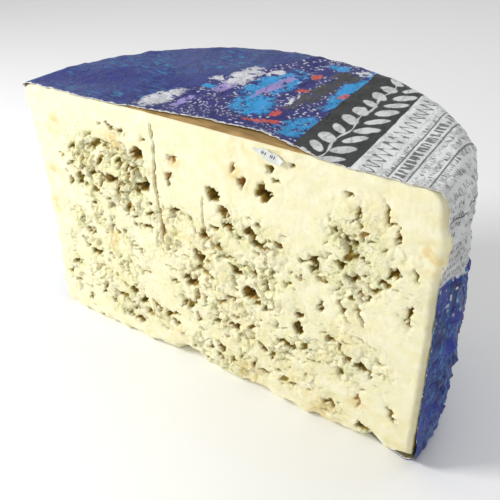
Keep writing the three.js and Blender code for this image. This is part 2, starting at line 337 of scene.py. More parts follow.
def broken_base(x):
    """How high up the face the paste has crumbled away, along the base."""
    height = 2.6 + 5.5 * fade(x + 12, 17) + 3.5 * fade(x - 75, 6)
    height += 2.0 * fade(x - 25, 12) + 1.4 * bumps(x, x * 0, 7, 31)
    return np.maximum(height + 0.8 * bumps(x, x * 0, 2.4, 32), 0.8)


across, up, behind = (read_mark(paste, name) for name in ("across", "up", "behind"))
face_z = up * WHEEL_HEIGHT
slice_y = behind - AXIS_BEHIND_CUT
ring = drum_radius(face_z)
face_x = across * np.sqrt(np.maximum(ring**2 - slice_y**2, 1))

# Each pocket has an outline roughened by the crumbly paste, steep walls and an
# uneven floor. What lies round it is stained by the mould.
rough_x = face_x + 1.6 * bumps(face_x, face_z, 6, 1) + 1.3 * bumps(face_x, face_z, 2.7, 2)
rough_z = face_z + 1.6 * bumps(face_x, face_z, 6, 3) + 1.3 * bumps(face_x, face_z, 2.7, 4)
rough_x += 0.6 * bumps(face_x, face_z, 1.3, 5)
rough_z += 0.6 * bumps(face_x, face_z, 1.3, 6)
coarse_middle, coarse_gap = grains(rough_x, rough_z, 4.6, 12)
fine_middle, fine_gap = grains(rough_x, rough_z, 2.1, 13)
hollow = np.zeros_like(face_x)
stain = np.zeros_like(face_x)
brown = np.zeros_like(face_x)


def hollow_out(x, z, length, height, lean, depth, brownness):
    """Sinks one pocket into the face."""
    reach = 0.5 * max(length, height) + 7
    near = np.flatnonzero((np.abs(rough_x - x) < reach) & (np.abs(rough_z - z) < reach))
    cos, sin = math.cos(math.radians(lean)), math.sin(math.radians(lean))
    along = ((rough_x[near] - x) * cos + (rough_z[near] - z) * sin) / (length / 2)
    over = ((rough_z[near] - z) * cos - (rough_x[near] - x) * sin) / (height / 2)
    inside = (1 - np.hypot(along, over)) * min(length, height) / 2
    raggedness = min(0.3 * min(length, height), 0.9)
    inside += raggedness * (0.6 - 1.5 * fine_gap[near] - 0.7 * coarse_gap[near])
    sunk = 1.35 * depth * np.tanh(np.maximum(inside, 0) / (0.35 + 0.09 * depth))
    deeper = sunk > hollow[near]
    brown[near] = np.where(deeper, brownness, brown[near])
    hollow[near] = np.maximum(hollow[near], sunk)
    halo = np.exp(np.minimum(inside, 0) / 0.9) * min(depth / 3, 1)
    stain[near] = np.maximum(stain[near], halo)


# Where pockets grew close together they are smaller: most of all in the upper
# left, and a little in the upper right.
CROWDED_LEFT = 0.84
CROWDED_RIGHT = 0.92
UNCROWDED = 1.02
for x, z, length, height, lean, depth, brownness in POCKETS:
    room = UNCROWDED
    if x < -24 and z > 60:
        room = CROWDED_LEFT
    elif x > 55 and z > 70:
        room = CROWDED_RIGHT
    hollow_out(x, z, room * length, room * height, lean, depth, brownness)

chance = np.random.default_rng(7)
for tries, largest in ((SMALL_POCKET_TRIES, 3.4), (FINE_POCKET_TRIES, 1.7)):
    for _ in range(tries):
        x = chance.uniform(-88, 88)
        z = chance.uniform(5, WHEEL_HEIGHT - 6)
        wanted = float(mould_strength(np.array([x]), np.array([z]))[0])
        size = chance.uniform(0.45, 1) * largest
        shape = chance.uniform(0.4, 0.9)
        lean = chance.uniform(-50, 50)
        depth = chance.uniform(0.4, 0.8) * size
        brownness = chance.uniform(0, 0.6)
        if chance.uniform(0, 1) < 0.5 * wanted**1.5:
            hollow_out(x, z, size, size * shape, lean, depth, brownness)

for x, foot, top, width in NEEDLES:
    line = x + 1.1 * bumps(face_z, face_z * 0 + x, 14, 40) + 0.5 * bumps(face_z, face_z * 0, 2.5, 41)
    wide = width * np.clip(1 + 1.3 * bumps(face_z, face_z * 0 + x, 5, 42), 0.25, 2)
    inside = 1 - np.abs(face_x - line) / (wide / 2)
    ends = smooth(face_z, foot - 2, foot + 2) * (1 - smooth(face_z, top - 2, top + 1))
    groove = 1.8 * ends * np.clip(inside, 0, 1) ** 0.5
    brown = np.where(groove > hollow, 0.75, brown)
    hollow = np.maximum(hollow, groove)

# The paste between the pockets: torn into crumbs where the mould grew, and
# smeared smooth by the knife elsewhere.
zone = mould_strength(face_x, face_z)
patchy = smooth(bumps(face_x, face_z, 11, 11), -0.4, 0.4)
crumbly = np.clip(0.08 + 1.3 * zone**2 * (0.15 + patchy) + 0.3 * stain, 0, 1.2)
coarse_cleft = 1 - smooth(coarse_gap, 0, 0.22)
fine_cleft = 1 - smooth(fine_gap, 0, 0.3)
flakes = np.tanh(9 * bumps(rough_x, rough_z, 11, 14)) + 0.7 * np.tanh(8 * bumps(rough_x, rough_z, 5, 19))
smears = bumps(face_x, face_z * 3.5, 12, 16)
relief = 0.5 * bumps(face_x, face_z, 24, 17) + 0.09 * smears
relief += crumbly * (1.5 * coarse_cleft * patchy + 0.5 * coarse_middle**2 + 0.55 * flakes)
relief += crumbly * (0.35 * fine_cleft * (0.4 + 0.8 * bumps(face_x, face_z, 5, 15)) + 0.15 * fine_middle**2)
relief += (0.05 + 0.12 * crumbly) * bumps(face_x, face_z, 1.15, 18)
cleft = crumbly * np.maximum(coarse_cleft * patchy, 0.3 * fine_cleft)

# Along the base the paste has broken away, and the top edge is a little torn.
base_break = broken_base(face_x)
recess = 1.15 * base_break * np.clip(1 - face_z / base_break, 0, 1) ** 0.8
recess += 1.4 * np.clip(1 - face_z / (base_break + 5), 0, 1) * (1 + bumps(face_x, face_z, 5, 19))
top_edge = fade(WHEEL_HEIGHT - face_z, 3)
side_edge = fade(1 - np.abs(across), 0.035)
torn_top = top_edge * (0.5 + 0.5 * bumps(face_x, face_z, 6, 20))

face_y = slice_y
sunk_here = hollow * np.clip(0.75 + 0.35 * bumps(face_x, face_z, 1.3, 21), 0.5, 1.1)
inward = 0.7 + relief + sunk_here + torn_top + 1.3 * side_edge**2
face_y = face_y + np.where(behind > 0, inward * fade(behind, 4), inward)
face_y += recess * fade(behind, 18)
face_z = face_z - 0.6 * (1 - smooth(face_z, 0, 2)) * fade(behind, 12)

# High on the right the paste smeared out into a lip over the foil, and both side
# edges of the face are broken, the left one more.
lip = smooth(across, 0.93, 1) * (1 - smooth(behind, 0.8, 3))
lip *= fade(face_z - 95, 15) * (1 + 0.4 * bumps(face_z, face_z * 0, 6, 22))
broken = smooth(np.abs(across), 0.94, 1) * (1 - smooth(behind, 1, 6))
broken *= 0.55 + 0.9 * bumps(face_z, face_x * 0 + across, 7, 23) + 0.5 * bumps(face_z, across, 2.6, 24)
face_x = face_x + 2.3 * lip - np.where(across > 0, 0.45, -1.7) * broken
points = np.stack(ripen(face_x, face_y, face_z), axis=1)
write_points(paste, points)
write_mark(paste, "hollow", hollow / 4)
write_mark(paste, "brown", brown)
write_mark(paste, "stain", np.clip(stain, 0, 1))
write_mark(paste, "mould", zone)
ripe = np.zeros_like(zone)
for spot_x, spot_z, reach in RIPE_SPOTS:
    away = np.hypot(points[:, 0] - spot_x, points[:, 2] - spot_z)
    ripe = np.maximum(ripe, fade(away, reach))
write_mark(paste, "ripe", ripe)
write_mark(paste, "cleft", np.clip(cleft, 0, 1))

# The rest of the wheel is a drum with rounded rims, cut off behind the grid.
DRUM_SIDES = 200
DRUM_RIM_SEGMENTS = 6
DRUM_CUTS = 23
bpy.ops.object.select_all(action="DESELECT")
bpy.ops.mesh.primitive_cylinder_add(
    vertices=DRUM_SIDES, radius=WHEEL_RADIUS / 1000, depth=WHEEL_HEIGHT / 1000,
    location=axis_foot + Vector((0, 0, WHEEL_HEIGHT / 2000)),
)
body = bpy.context.object
bpy.ops.object.transform_apply(location=True, rotation=True, scale=True)
for rim_height, rim_radius in ((WHEEL_HEIGHT, TOP_RIM), (0, BASE_RIM)):
    edit(body, "EDGE")
    bpy.ops.object.mode_set(mode="OBJECT")
    heights = read_points(body)[:, 2]
    for edge in body.data.edges:
        edge.select = all(abs(heights[v] - rim_height) < 0.01 for v in edge.vertices)
    bpy.ops.object.mode_set(mode="EDIT")
    bpy.ops.mesh.bevel(offset=rim_radius / 1000, segments=DRUM_RIM_SEGMENTS)
edit(body, "EDGE")
bpy.ops.object.mode_set(mode="OBJECT")
heights = read_points(body)[:, 2]
for edge in body.data.edges:
    edge.select = abs(heights[edge.vertices[0]] - heights[edge.vertices[1]]) > WHEEL_HEIGHT / 2
bpy.ops.object.mode_set(mode="EDIT")
bpy.ops.mesh.subdivide(number_cuts=DRUM_CUTS)
bpy.ops.mesh.select_all(action="SELECT")
bpy.ops.mesh.bisect(
    plane_co=axis_foot + Vector((0, (RIND_STEPS[-1] - AXIS_BEHIND_CUT) / 1000, 0)),
    plane_no=(0, 1, 0), clear_inner=True,
)
bpy.ops.object.mode_set(mode="OBJECT")
write_points(body, np.stack(ripen(*read_points(body).T), axis=1))

bpy.ops.object.select_all(action="DESELECT")
body.select_set(True)
paste.select_set(True)
bpy.context.view_layer.objects.active = paste
bpy.ops.object.join()
select_border(paste)
bpy.ops.mesh.bridge_edge_loops()
bpy.ops.mesh.select_all(action="SELECT")
bpy.ops.mesh.normals_make_consistent(inside=False)
bpy.ops.object.mode_set(mode="OBJECT")
bpy.ops.object.shade_smooth()


def linear(colour):
    """An sRGB hex colour as the linear RGBA that shaders take."""
    channels = [int(colour[i:i + 2], 16) / 255 for i in (1, 3, 5)]
    return [c / 12.92 if c <= 0.04045 else ((c + 0.055) / 1.055) ** 2.4 for c in channels] + [1]


def add(tree, kind, sockets=(), out=0, **settings):
    """Adds a shader node with its settings and links, and gives one of its outputs.

    Sockets are (input, value) pairs. A value is another node's output, a number,
    a vector, or a colour in sRGB hex.
    """
    node = tree.nodes.new("ShaderNode" + kind)
    for name, value in settings.items():
        setattr(node, name, value)
    for key, value in sockets:
        if isinstance(value, bpy.types.NodeSocket):
            tree.links.new(value, node.inputs[key])
        else:
            node.inputs[key].default_value = linear(value) if isinstance(value, str) else value
    return node.outputs[out] if node.outputs else node


def new_material(name):
    """An empty material and its node tree."""
    material = bpy.data.materials.new(name)
    material.use_nodes = True
    material.node_tree.nodes.clear()
    return material, material.node_tree


def place_on_piece(tree):
    """Where each point of the piece lies, in millimetres."""
    place = add(tree, "TexCoord", out="Object")
    return add(tree, "VectorMath", [(0, place), ("Scale", 1000)], operation="SCALE")


def mottle(tree, place, size, start=0, full=1, detail=2, rough=0.5, stretch=(1, 1, 1), most=1):
    """Ragged patches about size mm across: 0 where a noise is at start, most where it is at full."""
    place = add(tree, "Mapping", [("Vector", place), ("Scale", stretch)])
    noise = add(tree, "TexNoise", [
        ("Vector", place), ("Scale", 1 / size), ("Detail", detail), ("Roughness", rough),
    ])
    return add(tree, "MapRange", [(0, noise), (1, start), (2, full), (4, most)])


def together(tree, operation, first, *others):
    """Joins masks: MAXIMUM covers where any of them does, MULTIPLY only where all do."""
    for other in others:
        first = add(tree, "Math", [(0, first), (1, other)], operation=operation)
    return first


# Blue cheese paste: moist, fatty curd with a soft sheen that light enters a
# little way. Ivory, with a peach tint where it is cleanest, olive and brown in
# the pockets, and grey-green to blue-grey where the mould runs. Painted shade
# darkens the depths of the pockets and the clefts between crumbs.
paste_material, tree = new_material("blue_cheese_paste")
place = place_on_piece(tree)
marks = {
    name: add(tree, "Attribute", out="Fac", attribute_name=name)
    for name in ("ripe", "cleft", "stain", "mould", "brown", "hollow")
}

# The tints over the clean ivory, from the first laid to the last. Each has its
# mottle (size in mm, start, full, detail, roughness), the mark that it keeps to,
# how strong it is, and its colour.
CLEAN_PASTE = "#f7f1c6"
TINTS = [
    ((34, 0.52, 0.7, 3), None, 1, "#f7ebb8"),
    ((5, 0.42, 0.62, 4), None, 0.6, "#fffadf"),
    ((8, 0.46, 0.62, 5, 0.62), "mould", 0.6, "#e3e3a2"),
    ((4, 0.42, 0.6, 4, 0.6), "ripe", 0.6, "#e6bd5c"),
    # Painted shade: the clefts between crumbs are darkened olive.
    (None, "cleft", 0.5, "#bdb160"),
    ((3.2, 0.48, 0.62, 4, 0.6), "stain", 0.32, "#a9a558"),
    ((1.1, 0.64, 0.72, 1), "mould", 0.5, "#7d8870"),
]
colour = CLEAN_PASTE
for pattern, kept_to, strength, tint in TINTS:
    cover = mottle(tree, place, *pattern, most=strength) if pattern else strength
    if kept_to:
        cover = together(tree, "MULTIPLY", cover, marks[kept_to])
    colour = add(tree, "Mix", [(0, cover), (6, colour), (7, tint)], 2, data_type="RGBA")

# Grey flecks of mould, drawn out a little by the knife.
KNIFE_SLOPE = math.radians(-20)
smeared = add(tree, "Mapping", [
    ("Vector", place), ("Rotation", (0, KNIFE_SLOPE, 0)), ("Scale", (0.5, 1, 1)),
])
moulded = add(tree, "MapRange", [(0, marks["mould"]), (1, 0.02), (2, 0.3), (4, 0.5)])
flecks = together(
    tree, "MULTIPLY",
    mottle(tree, smeared, 1.5, 0.6, 0.66, 3), mottle(tree, place, 16, 0.46, 0.56), moulded,
)
colour = add(tree, "Mix", [(0, flecks), (6, colour), (7, "#8f9682")], 2, data_type="RGBA")

# The pockets' walls are olive or rust brown, and their depths are painted dark: painted shade in the
# hollows.
walls = mottle(tree, place, 2, 0.35, 0.65, 3)
mossy = add(tree, "Mix", [(0, walls), (6, "#b8a23c"), (7, "#7d6c1e")], 2, data_type="RGBA")
rusty = add(tree, "Mix", [(0, walls), (6, "#c8963c"), (7, "#8a5a1c")], 2, data_type="RGBA")
lining = add(tree, "Mix", [(0, marks["brown"]), (6, mossy), (7, rusty)], 2, data_type="RGBA")
in_pocket = add(tree, "MapRange", [(0, marks["hollow"]), (1, 0.1), (2, 0.42)])
colour = add(tree, "Mix", [(0, in_pocket), (6, colour), (7, lining)], 2, data_type="RGBA")
# Painted shade: the deeper a point lies in its pocket, the nearer it is mixed to dark brown-black.
pocket_depth_shade = add(tree, "MapRange", [(0, marks["hollow"]), (1, 0.68), (2, 1.8)])
colour = add(tree, "Mix", [(0, pocket_depth_shade), (6, colour), (7, "#332506")], 2, data_type="RGBA")

fine = mottle(tree, place, 0.9, detail=3, rough=0.6)
soft = mottle(tree, place, 3, detail=3, rough=0.55)
bumpy = add(tree, "Math", [(0, soft), (1, 0.7), (2, fine)], operation="MULTIPLY_ADD")
crumbled = add(tree, "Math", [(0, marks["mould"]), (1, 1.1), (2, 0.25)], operation="MULTIPLY_ADD")
bumpy = together(tree, "MULTIPLY", bumpy, crumbled)
bumped = add(tree, "Bump", [("Strength", 0.6), ("Distance", 0.0007), ("Height", bumpy)])
sheen = add(tree, "MapRange", [(0, soft), (3, 0.42), (4, 0.62)])
shader = add(tree, "BsdfPrincipled", [
    ("Base Color", colour), ("Roughness", sheen), ("IOR", 1.45), ("Normal", bumped),
    ("Subsurface Weight", 0.15), ("Subsurface Radius", (1.0, 0.75, 0.4)),
    ("Subsurface Scale", 0.0012),
])
add(tree, "OutputMaterial", [("Surface", shader)])

# The rind under the foil: damp and tan nearest the cut, with painted shade that
# darkens it to brown further behind, where the foil's edge shades it, and
# faintly streaked by the foil's creases.
rind_material, tree = new_material("washed_brown_rind")
place = place_on_piece(tree)
streaked = mottle(tree, place, 2.6, detail=4, rough=0.6, stretch=(0.25, 2.2, 2.2))
streaks = add(tree, "MapRange", [(0, streaked), (1, 0.35), (2, 0.65)])
tan = add(tree, "Mix", [(0, streaks), (6, "#96733a"), (7, "#cba868")], 2, data_type="RGBA")
# Painted shade: a darker copy of the tan, mixed in further behind the cut where the foil's edge shades the
# rind.
shaded_rind = add(tree, "Mix", [(0, streaks), (6, "#5a4318"), (7, "#8a6c34")], 2, data_type="RGBA")
behind_cut = add(tree, "Attribute", out="Fac", attribute_name="behind")
behind_cut = add(tree, "MapRange", [(0, behind_cut), (1, 3.5), (2, 10)])
colour = add(tree, "Mix", [(0, behind_cut), (6, tan), (7, shaded_rind)], 2, data_type="RGBA")
blotched = mottle(tree, place, 9, 0.5, 0.7, 3)
colour = add(tree, "Mix", [(0, blotched), (6, colour), (7, "#8a6a34")], 2, data_type="RGBA")
bumped = add(tree, "Bump", [("Strength", 0.5), ("Distance", 0.0006), ("Height", streaked)])
shader = add(tree, "BsdfPrincipled", [
    ("Base Color", colour), ("Roughness", 0.5), ("IOR", 1.45), ("Normal", bumped),
])
add(tree, "OutputMaterial", [("Surface", shader)])

paste.data.materials.append(paste_material)
paste.data.materials.append(rind_material)
RIND_FROM = 1.6
behind = read_mark(paste, "behind")
points = read_points(paste)
deep = (behind > RIND_FROM) | (points[:, 1] > RIND_STEPS[-1] - AXIS_BEHIND_CUT - 0.5)
for polygon in paste.data.polygons:
    polygon.material_index = int(all(deep[v] for v in polygon.vertices))

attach(paste, "root")
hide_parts("cheese_half")


# ---------------------------------------------------------------------------
# The foil
# ---------------------------------------------------------------------------
# One sheet of thin aluminium foil, printed and lacquered on its outside, folded
# over the wheel and pressed to it by hand. The knife that halved the wheel cut
# it ragged, tore it back along the top, and left it baggy low on its right.

FOIL_CLEAR = 0.3
FOIL_THICK = 0.2
FOIL_RIM = 5.5
TORN_BACK = 8.8
BAGGY = 3.0
ROUND_STEPS = 250
TOP_STEPS = 74
RIM_STEPS = 9
FLANK_STEPS = 78
BASE_STEPS = 10

# The profile is drawn from the middle of the top, over the rim, down the flank
# and in under the base, then spun through half a turn.
outline = [
    (r, WHEEL_HEIGHT + FOIL_CLEAR)
    for r in np.linspace(0, WHEEL_RADIUS - FOIL_RIM, TOP_STEPS)
]
for turn in np.linspace(0, math.pi / 2, RIM_STEPS)[1:-1]:
    outline.append((
        WHEEL_RADIUS + FOIL_CLEAR - FOIL_RIM + FOIL_RIM * math.sin(turn),
        WHEEL_HEIGHT + FOIL_CLEAR - FOIL_RIM + FOIL_RIM * math.cos(turn),
    ))
for z in np.linspace(WHEEL_HEIGHT + FOIL_CLEAR - FOIL_RIM, BASE_RIM, FLANK_STEPS):
    outline.append((WHEEL_RADIUS + FOIL_CLEAR, z))
for turn in np.linspace(0, math.pi / 2, RIM_STEPS)[1:]:
    outline.append((
        WHEEL_RADIUS + FOIL_CLEAR - BASE_RIM + BASE_RIM * math.cos(turn),
        BASE_RIM - (BASE_RIM + FOIL_CLEAR) * math.sin(turn),
    ))
for r in np.linspace(WHEEL_RADIUS - BASE_RIM, 0, BASE_STEPS)[1:]:
    outline.append((r, -FOIL_CLEAR))
outline = np.array(outline)
run = np.concatenate([[0], np.cumsum(np.hypot(*np.diff(outline, axis=0).T))])

profile = bpy.data.meshes.new("foil_outline")
profile.from_pydata(
    [tuple(Vector((r / 1000, 0, z / 1000)) + axis_foot) for r, z in outline],
    [(i, i + 1) for i in range(len(outline) - 1)], [],
)
foil = bpy.data.objects.new("printed_foil", profile)
bpy.context.scene.collection.objects.link(foil)
write_mark(foil, "run", run)
edit(foil)
bpy.ops.mesh.select_all(action="SELECT")
bpy.ops.mesh.spin(
    steps=ROUND_STEPS, angle=math.pi, center=axis_foot, axis=(0, 0, -1), dupli=False,
)
bpy.ops.mesh.select_all(action="SELECT")
bpy.ops.mesh.remove_doubles(threshold=1e-6)
bpy.ops.mesh.normals_make_consistent(inside=False)
bpy.ops.object.mode_set(mode="OBJECT")


def write_sheet(piece, x, y):
    """Where each corner lies on the flat sheet, which is where it is printed."""
    places = np.stack([x, y, np.zeros_like(x)], axis=1)
    sheet_mark = piece.data.attributes.new("sheet", "FLOAT_VECTOR", "POINT")
    sheet_mark.data.foreach_set("vector", places.ravel().astype(np.float32))


# The half turn is opened out to reach the knife's plane, and the middle of the
# top is drawn forward to it.
run = read_mark(foil, "run")
x, y, z = read_points(foil).T
radius = np.hypot(x, y)
angle = np.where(radius < 1e-3, math.pi / 2, np.arctan2(np.maximum(y, 0), x))
flat_radius = WHEEL_RADIUS - np.where(z > WHEEL_HEIGHT / 2, FOIL_RIM, BASE_RIM)
on_disc = radius < flat_radius + 1e-3
lean_out = math.asin(AXIS_BEHIND_CUT / WHEEL_RADIUS)
wide_angle = -lean_out + angle * (math.pi + 2 * lean_out) / math.pi
share = np.where(on_disc, radius / flat_radius, 1)
rim_radius = np.maximum(radius, flat_radius)
x = share * rim_radius * np.cos(wide_angle)
y = share * (rim_radius * np.sin(wide_angle) + AXIS_BEHIND_CUT) - AXIS_BEHIND_CUT
bearing = np.arctan2(y, x)
sheet_x, sheet_y = run * np.cos(wide_angle), run * np.sin(wide_angle)
top_disc = on_disc & (z > WHEEL_HEIGHT / 2)
sheet_x, sheet_y = np.where(top_disc, x, sheet_x), np.where(top_disc, y, sheet_y)
on_top = smooth(z, WHEEL_HEIGHT - FOIL_RIM, WHEEL_HEIGHT)
under = z < 0
edge = y + AXIS_BEHIND_CUT

# Creases: sharp low ridges in the pressed sheet, deeper on the flank, where the
# sheet had to be pleated to go round.
flank = 1 - on_top
creased = 0
for size, share_of in ((21, 0.45), (11, 0.35), (5.5, 0.2), (2.6, 0.1)):
    bend_x = sheet_x + 0.3 * size * bumps(sheet_x, sheet_y, size * 1.3, 70 + int(size))
    bend_y = sheet_y + 0.3 * size * bumps(sheet_x, sheet_y, size * 1.3, 90 + int(size))
    ridge = 1 - 1.9 * np.abs(bumps(bend_x, bend_y, size, 50 + int(size)))
    creased = creased + share_of * np.clip(ridge, 0, 1) ** 1.5
facet_middle, facet_gap = grains(bend_x, bend_y, 12, 66)
pleats = 1 - np.abs(np.sin(bearing * 21 + 3 * bumps(sheet_x, sheet_y, 26, 61)))
pleats *= smooth(run, 66, 90) * (1 - smooth(run, 98, 140))
pleats *= 0.3 + 0.7 * bumps(sheet_x, sheet_y, 30, 62) ** 2
crumple = np.where(under, 0, (0.8 * on_top + 2.7 * flank) * creased)
crumple += np.where(under, 0, 1.8 * flank * (1 - facet_middle) * facet_gap + 0.4 * pleats)
furrows = np.clip(1 - 3.2 * np.abs(bumps(sheet_x * 0.5, sheet_y, 9, 68)), 0, 1) ** 2
crumple += np.where(under, 0, 0.45 * furrows * (0.5 + 0.5 * bumps(sheet_x, sheet_y, 30, 69)))
sag = np.where(under, 0, 0.8 * flank * (0.5 + 0.5 * bumps(sheet_x, sheet_y, 34, 63)))
pressed = 0.1 + 0.9 * smooth(edge, 0, 16)
nose = np.clip((WHEEL_HEIGHT + FOIL_CLEAR - z) / FOIL_RIM, 0, 1)
outward = np.where(z > WHEEL_HEIGHT / 2, np.sin(nose * math.pi / 2), np.clip(z / BASE_RIM, 0, 1))
foot = smooth(BASE_RIM - z, 0, BASE_RIM)
x, y, z = ripen(x, y, z, DRAWN_IN * fade(edge, 18))
push = (crumple + sag) * outward * pressed
x, y = x + push * np.cos(bearing), y + push * np.sin(bearing)
z = z + crumple * (1 - outward) * (0.1 + 0.9 * smooth(edge, 8, 30))

# The knife tore it back along the top, most near the middle. It hangs baggy low
# on the right, and was pulled back a little on the left and the base.
torn = np.where(x < 20, fade(x - 20, 88), fade(x - 20, 38))
hang = fade(np.maximum(z, 0), 84) * smooth(x, 40, 80)
x = x + hang * (BAGGY * fade(edge - 50, 52) + 1.6 * fade(edge, 26) * fade(np.maximum(z, 0), 30))
ragged = 0.6 * bumps(sheet_x, sheet_y, 4, 64) + 0.4 * bumps(sheet_x, sheet_y, 1.6, 65)
set_back = 0.9 - 0.5 * smooth(x, 60, 88) * flank + 3.4 * smooth(-x, 60, 88) * flank
set_back += 1.6 * smooth(x, 60, 88) * flank * fade(z - 95, 18)
set_back += (8.5 - 6.5 * smooth(x, 62, 90)) * foot
y = y + fade(edge, 9 + 12 * foot) * (set_back + np.where(under, 0, ragged))
y = y + TORN_BACK * on_top * torn**1.2 * fade(edge, 22) * (1 + 0.2 * bumps(x, x * 0, 19, 67))
write_points(foil, np.stack([x, y, z], axis=1))
write_mark(foil, "edge", edge)
write_sheet(foil, sheet_x, sheet_y)

wall = foil.modifiers.new("foil_thickness", "SOLIDIFY")
wall.thickness = FOIL_THICK / 1000
wall.offset = 1
wall.material_offset = 1
wall.material_offset_rim = 0
foil.data.materials.append(None)
foil.data.materials.append(None)
bpy.ops.object.modifier_apply(modifier=wall.name)
bpy.ops.object.shade_smooth()

# Printed aluminium foil: flat inks under a satin lacquer. The print is an
# abstract pattern of blots, bands and rows of ticks, laid out in millimetres on
# the flat sheet, so that it follows the foil round the rim and down the flank.
print_material, tree = new_material("printed_lacquered_foil")
sheet = add(tree, "Attribute", out="Vector", attribute_name="sheet")
parts = add(tree, "SeparateXYZ", [(0, sheet)]).node.outputs
sheet_across, sheet_back = parts[0], parts[1]
from_middle = add(tree, "VectorMath", [(0, sheet)], "Value", operation="LENGTH")

# The brushed outlines wander: loosely in the picture, and a little on the band.
WANDER = 9.0
FIRM_WANDER = 0.16 * WANDER
wander = add(
    tree, "TexNoise", [("Vector", sheet), ("Scale", 0.16), ("Detail", 5), ("Roughness", 0.7)], "Color",
)
wander = add(tree, "VectorMath", [(0, wander), (1, (0.5, 0.5, 0.5))], operation="SUBTRACT")
wavy, firm = (
    add(
        tree, "VectorMath",
        [(0, wander), (1, (reach, reach, reach)), (2, sheet)], operation="MULTIPLY_ADD",
    )
    for reach in (WANDER, FIRM_WANDER)
)


def blot(tree, place, middle, size, lean, soft=0.12):
    """1 inside a ragged oval of ink, 0 outside. The size is half its length each way."""
    local = add(
        tree, "Mapping",
        [
            ("Vector", place), ("Location", (*middle, 0)),
            ("Rotation", (0, 0, math.radians(lean))), ("Scale", (*size, 1)),
        ],
        vector_type="TEXTURE",
    )
    reach = add(tree, "VectorMath", [(0, local)], "Value", operation="LENGTH")
    return add(tree, "MapRange", [(0, reach), (1, 1 + soft), (2, 1 - soft)])


def dots(tree, spacing, size):
    """Round dots of ink, unevenly spread."""
    away = add(tree, "TexVoronoi", [("Vector", sheet), ("Scale", 1 / spacing)], "Distance")
    return add(tree, "MapRange", [(0, away), (1, size), (2, size * 0.7)])


def stripe(tree, across, middle, half_width, soft=0.08):
    """1 within half a width of a straight or winding line, 0 outside it."""
    away = add(tree, "Math", [(0, across), (1, middle)], operation="SUBTRACT")
    away = add(tree, "Math", [(0, away)], operation="ABSOLUTE")
    past = add(tree, "Math", [(0, away), (1, half_width)], operation="SUBTRACT")
    return add(tree, "MapRange", [(0, past), (1, soft), (2, -soft)])


# The ground: slate and navy inks with teal dashes. Down the flank the navy is
# brighter, with ragged teal strokes.
slates = mottle(tree, sheet, 38, 0.42, 0.6, 3)
ground = add(tree, "Mix", [(0, slates), (6, "#3f4f90"), (7, "#1e2b84")], 2, data_type="RGBA")
dashes = together(
    tree, "MULTIPLY", mottle(tree, sheet, 1.5, 0.54, 0.62, stretch=(0.28, 1, 1)),
    mottle(tree, sheet, 24, 0.45, 0.58), 0.8,
)
ground = add(tree, "Mix", [(0, dashes), (6, ground), (7, "#2f86b4")], 2, data_type="RGBA")
navies = mottle(tree, sheet, 22, 0.42, 0.6, 3)
side = add(tree, "Mix", [(0, navies), (6, "#101a78"), (7, "#2334a8")], 2, data_type="RGBA")
strokes = mottle(tree, wavy, 3.4, 0.52, 0.6, 4, 0.65, (0.5, 1.5, 1), most=0.85)
side = add(tree, "Mix", [(0, strokes), (6, side), (7, "#2c8fce")], 2, data_type="RGBA")

# The picture lies right of a slanting line: navy with white dots, thickest in
# two drifts, then the blots of each ink in the order that they were printed.
slant = add(tree, "Math", [(0, sheet_back), (1, -0.42), (2, sheet_across)], operation="MULTIPLY_ADD")
picture = add(tree, "MapRange", [(0, slant), (1, -39), (2, -37)])
dotted = add(
    tree, "Mix", [(0, dots(tree, 3.4, 0.26)), (6, "#141a78"), (7, "#e6e9f2")], 2, data_type="RGBA",
)
speckled = add(
    tree, "Mix", [(0, dots(tree, 1.5, 0.36)), (6, "#292b7a"), (7, "#d5d7e8")], 2, data_type="RGBA",
)
drifts = together(
    tree, "MAXIMUM", blot(tree, wavy, (-6, 17), (17, 12), 20), blot(tree, wavy, (30, 55), (5, 20), 4),
    together(tree, "MULTIPLY", picture, mottle(tree, sheet, 15, 0.46, 0.49, 3)),
)
colour = add(tree, "Mix", [(0, picture), (6, ground), (7, dotted)], 2, data_type="RGBA")
colour = add(tree, "Mix", [(0, drifts), (6, colour), (7, speckled)], 2, data_type="RGBA")
# Each ink's colour, then its blots: middle, half lengths and lean in degrees.
INKS = [
    ("#22a2e6", [
        ((1, 50), (9, 18), -8), ((6, 27), (9, 10), 30), ((30, 14), (7, 13), -10),
        ((31, 60), (4.5, 26), 2), ((-20, 33), (5, 3), 0), ((16, 79), (6, 3), 0),
    ]),
    ("#a493d6", [((3, 47), (2.6, 15), -6), ((-13, 38), (3, 10), -14), ((-19, 14), (2, 9), 0)]),
    ("#45464b", [((21, 47), (5, 20), -4), ((23, 70), (7, 7), 10)]),
    ("#dd5a50", [
        ((13, 12), (4, 3.4), 0), ((20, 15), (4.6, 3), 20), ((18, 25), (2.6, 5), -10),
        ((15, 47), (2.8, 2.6), 0), ((12, 65), (2.4, 3.4), 0), ((32, 50), (1.8, 2.6), 0),
    ]),
    ("#e6e8ee", [
        ((-29, 14), (5.5, 13), -10), ((-14, 50), (6, 13), 8), ((-5, 60), (3, 5), -20),
        ((-22, 42), (3, 3), 0), ((28, 78), (4, 3.6), 0), ((17, 38), (1, 7), 0),
    ]),
]
for ink, ovals in INKS:
    inked = together(tree, "MAXIMUM", *[blot(tree, wavy, *oval) for oval in ovals])
    colour = add(tree, "Mix", [(0, inked), (6, colour), (7, ink)], 2, data_type="RGBA")

